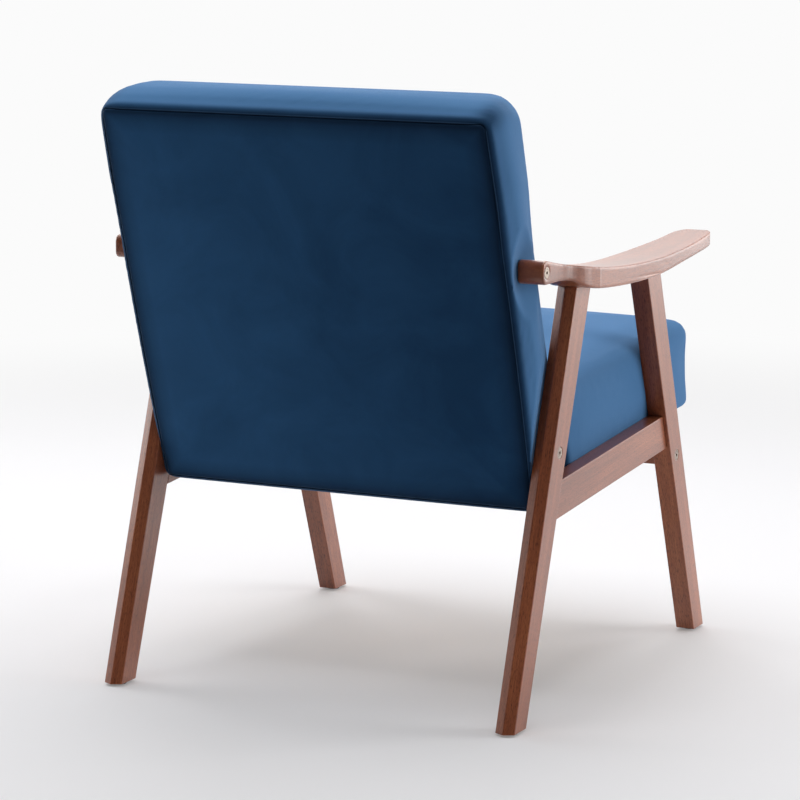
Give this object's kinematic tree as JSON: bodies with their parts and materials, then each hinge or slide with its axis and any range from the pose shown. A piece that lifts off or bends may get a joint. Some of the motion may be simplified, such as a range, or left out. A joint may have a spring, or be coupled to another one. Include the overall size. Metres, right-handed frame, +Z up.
{
  "type": "open-arm lounge chair",
  "caption": "Low lounge chair with a splayed hardwood frame, shaped open armrests, a thick upholstered seat and a raked upholstered back.",
  "frame": {"origin": "on the floor, under the middle of the chair's width and depth", "axes": "+Z up, -Y the way a sitter faces, +X to the sitter's left"},
  "size_m": [0.663, 0.7016, 0.8054],
  "materials": {
    "stained_wood": "walnut-brown stain under satin lacquer",
    "frame_timber": "planed and unfinished",
    "plywood": "sanded and unfinished",
    "velvet": "short-pile velvet over foam",
    "webbing": "woven elastic strap",
    "bronze_steel": "bronze-plated",
    "zinc_steel": "zinc-plated",
    "nylon": "matte"
  },
  "bodies": {
    "root": {"armrest_left": "stained_wood", "armrest_right": "stained_wood", "front_leg_left": "stained_wood", "front_leg_right": "stained_wood", "rear_leg_left": "stained_wood", "rear_leg_right": "stained_wood", "side_rail_left": "stained_wood", "side_rail_right": "stained_wood", "front_cross_rail": "stained_wood", "rear_cross_rail": "stained_wood", "corner_blocks": "frame_timber", "seat_board": "plywood", "seat_cushion": "velvet", "seat_screws": "zinc_steel", "back_cushion": "velvet", "back_panel": "velvet", "back_stile_left": "frame_timber", "back_stile_right": "frame_timber", "back_top_rail": "frame_timber", "back_arm_rail": "frame_timber", "back_bottom_rail": "frame_timber", "back_webbing": "webbing", "arm_bolts": "bronze_steel", "leg_bolts": "bronze_steel", "insert_nuts": "zinc_steel", "rail_dowels": "frame_timber", "cross_dowels": "frame_timber", "arm_dowels": "frame_timber", "back_dowels": "frame_timber", "foot_glides": "nylon"}
  },
  "joints": []
}
